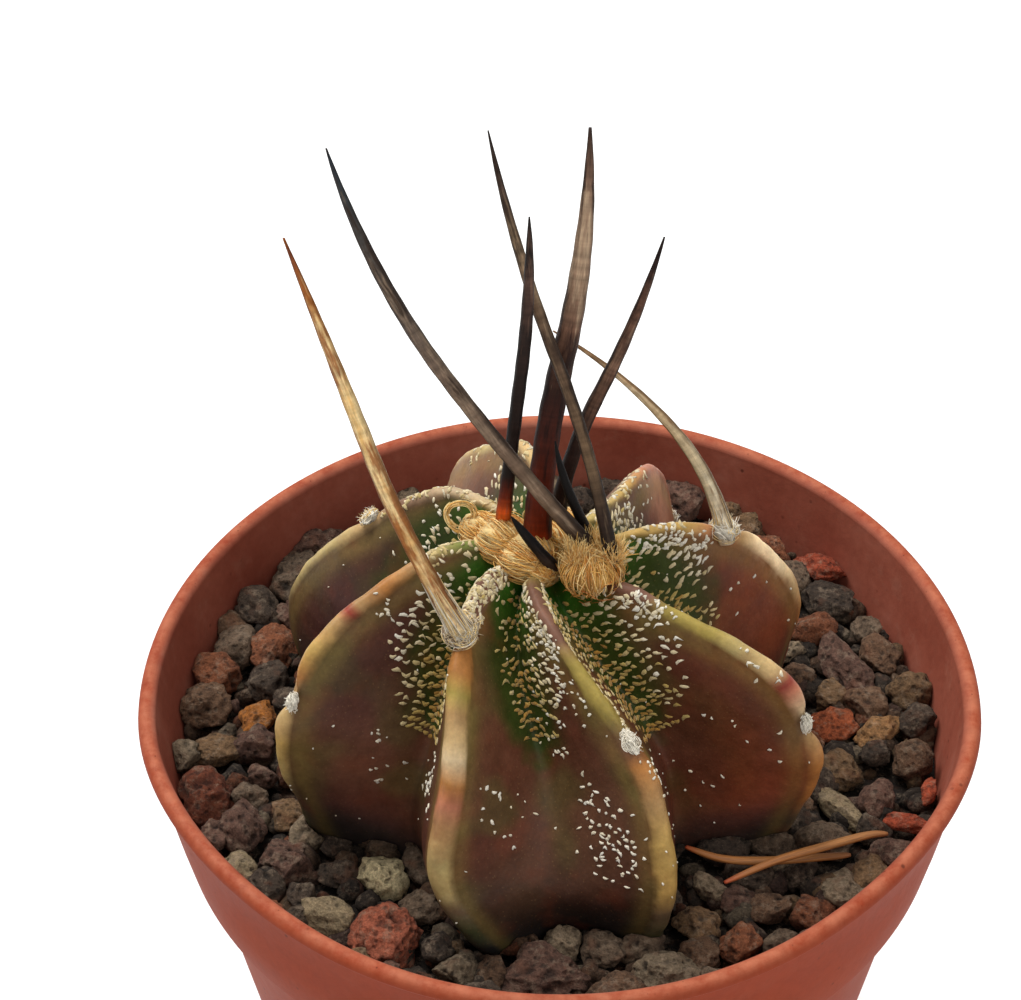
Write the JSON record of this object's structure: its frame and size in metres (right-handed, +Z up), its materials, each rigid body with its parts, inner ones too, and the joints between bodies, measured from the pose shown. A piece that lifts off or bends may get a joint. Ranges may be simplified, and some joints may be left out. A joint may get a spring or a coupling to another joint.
{
  "type": "potted cactus",
  "caption": "Goats horn cactus with twisted ribs and long curved spines, standing in lava gravel in a round tapered plastic nursery pot.",
  "frame": {"origin": "centre of the pot's flat underside", "axes": "+Z up along the pot's axis; -Y is the side that the picture shows from the front, +X is its right"},
  "size_m": [0.06, 0.06, 0.0975],
  "materials": {
    "pot_plastic": "semi-matt terracotta coloured plastic",
    "soil": "dark damp mineral potting mix",
    "gravel": "rough broken lava stones, grey, brown and brick red",
    "cactus_skin": "waxy living skin, maroon brown to deep green with white flecks",
    "wool": "matted plant wool, straw to grey",
    "spine_dark": "horn-like, grey-brown to black, faintly banded",
    "spine_straw": "dry straw-coloured horn with brown stains",
    "dry_needle": "dry tan leaf"
  },
  "bodies": {
    "root": {"pot": "pot_plastic", "potting_soil": "soil", "lava_gravel": "gravel", "cactus_body": "cactus_skin", "wool_a": "wool", "wool_b": "wool", "wool_c_young": "wool", "wool_c_old": "wool", "wool_d": "wool", "wool_e": "wool", "wool_f": "wool", "wool_g": "wool", "wool_h": "wool", "wool_crown": "wool", "spine_a": "spine_straw", "spine_c_long": "spine_dark", "spine_c_thin": "spine_dark", "spine_c_short": "spine_dark", "spine_crown_black": "spine_dark", "spine_crown_thick": "spine_dark", "spine_crown_banded": "spine_dark", "spine_crown_young": "spine_dark", "spine_d": "spine_straw", "dry_needle_straight": "dry_needle", "dry_needle_bent": "dry_needle"}
  },
  "joints": []
}
